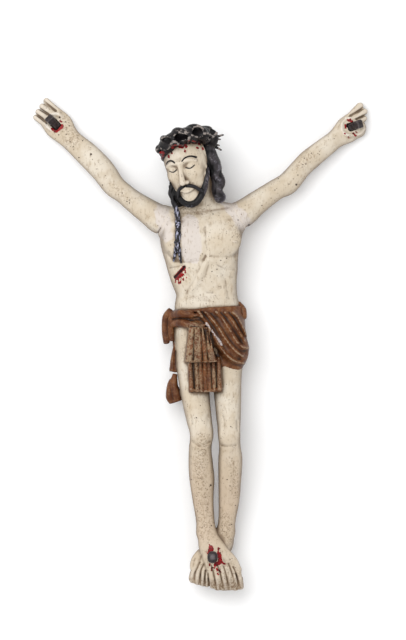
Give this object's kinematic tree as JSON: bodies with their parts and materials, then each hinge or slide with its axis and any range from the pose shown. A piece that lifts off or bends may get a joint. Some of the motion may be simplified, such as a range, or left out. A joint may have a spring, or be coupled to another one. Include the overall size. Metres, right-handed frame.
{
  "type": "carved crucifix corpus figure",
  "caption": "Carved, painted wooden corpus figure with spread arms, crown, knotted loincloth and crossed feet, with forged nails in its hands and feet; it has no cross.",
  "frame": {"origin": "on the flat at the back of the hips, in the plane that the figure lies on", "axes": "+X to the figure's left, +Y to its head along its length, +Z out of its front"},
  "size_m": [0.4184, 0.6158, 0.1011],
  "materials": {
    "painted_wood": "aged paint on carved wood: cream skin, brown loincloth, black hair and crown, red drops",
    "nail_iron": "forged iron, near black, dull shine"
  },
  "bodies": {
    "root": {"corpus_body": "painted_wood", "right_arm": "painted_wood", "left_arm": "painted_wood", "right_hand_nail": "nail_iron", "left_hand_nail": "nail_iron", "feet_nail": "nail_iron"}
  },
  "joints": []
}
